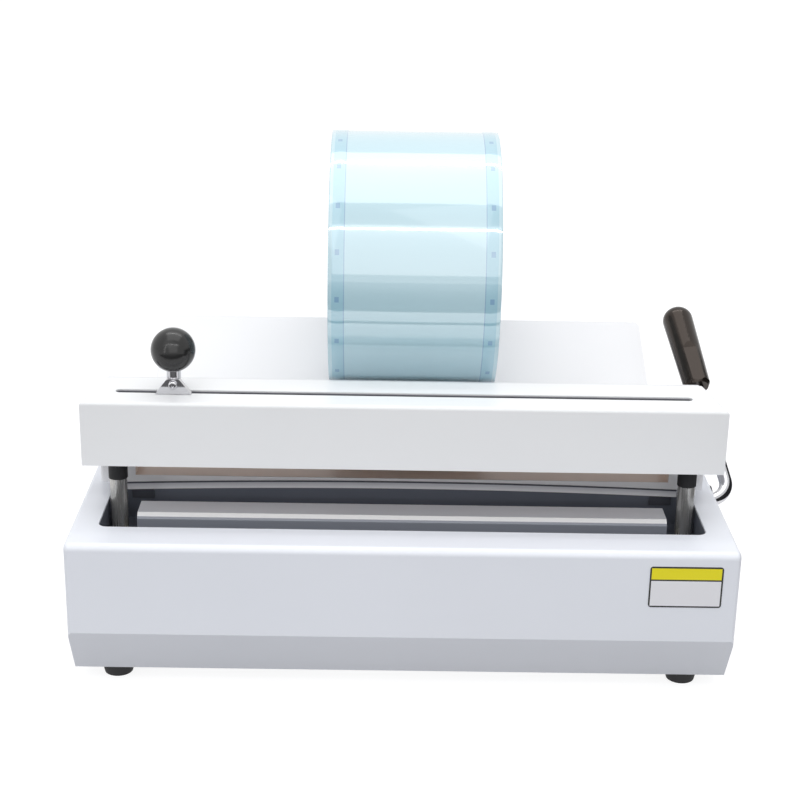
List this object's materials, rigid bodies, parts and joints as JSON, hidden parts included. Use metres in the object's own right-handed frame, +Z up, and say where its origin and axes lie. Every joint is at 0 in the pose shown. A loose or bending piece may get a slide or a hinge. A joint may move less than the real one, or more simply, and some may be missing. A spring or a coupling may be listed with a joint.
{
  "type": "sterilization bag sealer",
  "caption": "Bench heat sealer: a side lever lowers a beam on a heated bar, a ball knob slides the cutter along a slot, and the pouch reel lies in a sloped cradle.",
  "frame": {"origin": "on the table, below the middle of the box round the whole object", "axes": "+X to the right along the sealing bar, +Y away from the user, +Z up"},
  "size_m": [0.3858, 0.2528, 0.2889],
  "materials": {
    "white_enamel": "white powder coat, semi-gloss",
    "dark_enamel": "dark satin coat",
    "zinc_sheet": "zinc plated sheet",
    "ground_steel": "ground and polished",
    "strip_steel": "rolled strip, satin",
    "chrome_plate": "polished chrome",
    "bar_aluminium": "milled, fine lengthwise grain",
    "bush_bronze": "sintered bronze",
    "black_gloss": "glossy black moulding",
    "black_matte": "matt black moulding",
    "rocker_plastic": "glossy rocker",
    "cream_plastic": "cream moulding",
    "heater_mica": "mica wrapped strip",
    "black_rubber": "moulded rubber",
    "silicone": "silicone sponge",
    "pouch_film": "clear film over paper, wound",
    "core_board": "spiral wound board"
  },
  "bodies": {
    "base": {"base_cover": "white_enamel", "bottom_plate": "zinc_sheet", "feet": "black_rubber", "foot_screws": "zinc_sheet", "recess_tray": "dark_enamel", "guide_bridge": "zinc_sheet", "post_bushing_left": "bush_bronze", "post_bushing_right": "bush_bronze", "side_frame_left": "zinc_sheet", "side_frame_right": "zinc_sheet", "shaft_bearing_left": "bush_bronze", "shaft_bearing_right": "bush_bronze", "sealing_bar": "bar_aluminium", "bar_standoffs": "cream_plastic", "bar_screws": "zinc_sheet", "heater_element": "heater_mica", "heater_clamp": "bar_aluminium", "thermostat": "heater_mica", "guide_strip": "strip_steel", "feed_housing": "white_enamel", "reel_cradle": "white_enamel", "lever_grommet": "black_matte", "spring_pegs": "zinc_sheet", "power_inlet": "black_matte", "switch_housing": "black_matte", "terminal_block": "cream_plastic", "return_spring_left": "strip_steel", "return_spring_right": "strip_steel"},
    "beam": {"beam_cover": "white_enamel", "beam_channel": "zinc_sheet", "presser_holder": "bar_aluminium", "silicone_pad": "silicone", "guide_rod": "ground_steel", "guide_rod_holders": "bar_aluminium", "post_left": "ground_steel", "post_right": "ground_steel", "post_collar_left": "black_rubber", "post_collar_right": "black_rubber", "post_nuts": "zinc_sheet", "lift_arm_left": "zinc_sheet", "lift_arm_right": "zinc_sheet", "follower_pins": "zinc_sheet", "follower_roller_left": "ground_steel", "follower_roller_right": "ground_steel"},
    "lever": {"cross_shaft": "ground_steel", "lift_cam_left": "ground_steel", "lift_cam_right": "ground_steel", "lever_rod": "chrome_plate", "lever_grip": "black_gloss"},
    "cutter": {"cutter_slider": "bar_aluminium", "cutter_foot": "chrome_plate", "cutter_foot_screw": "chrome_plate", "cutter_stem": "chrome_plate", "cutter_knob": "black_gloss", "blade_holder": "zinc_sheet", "cutter_blade": "strip_steel"},
    "reel": {"reel_core": "core_board", "reel_film": "pouch_film"},
    "rocker": {"switch_rocker": "rocker_plastic"}
  },
  "joints": [
    {"name": "lever_swing", "type": "hinge", "parent": "base", "child": "lever", "pos_m": [-0.00795, -0.02539, 0.083], "axis": [1, 0, 0], "range_deg": [0, 72]},
    {"name": "beam_lift", "type": "slide", "parent": "base", "child": "beam", "axis": [0, 0, 1], "range_m": [-0.027, 0], "stiffness_N_per_m": 900, "springref_m": 0.035, "deforming": ["return_spring_left", "return_spring_right"]},
    {"name": "cutter_slide", "type": "slide", "parent": "beam", "child": "cutter", "axis": [1, 0, 0], "range_m": [-0.025, 0.285]},
    {"name": "reel_spin", "type": "hinge", "parent": "base", "child": "reel", "pos_m": [-0.00295, 0.04759, 0.21016], "axis": [1, 0, 0], "continuous": true},
    {"name": "switch_rock", "type": "hinge", "parent": "base", "child": "rocker", "pos_m": [-0.09295, 0.11061, 0.046], "axis": [1, 0, 0], "range_deg": [0, 14]}
  ],
  "couplings": [
    {"joint": "beam_lift", "follows": "lever_swing", "m_per_rad": -0.021485}
  ]
}
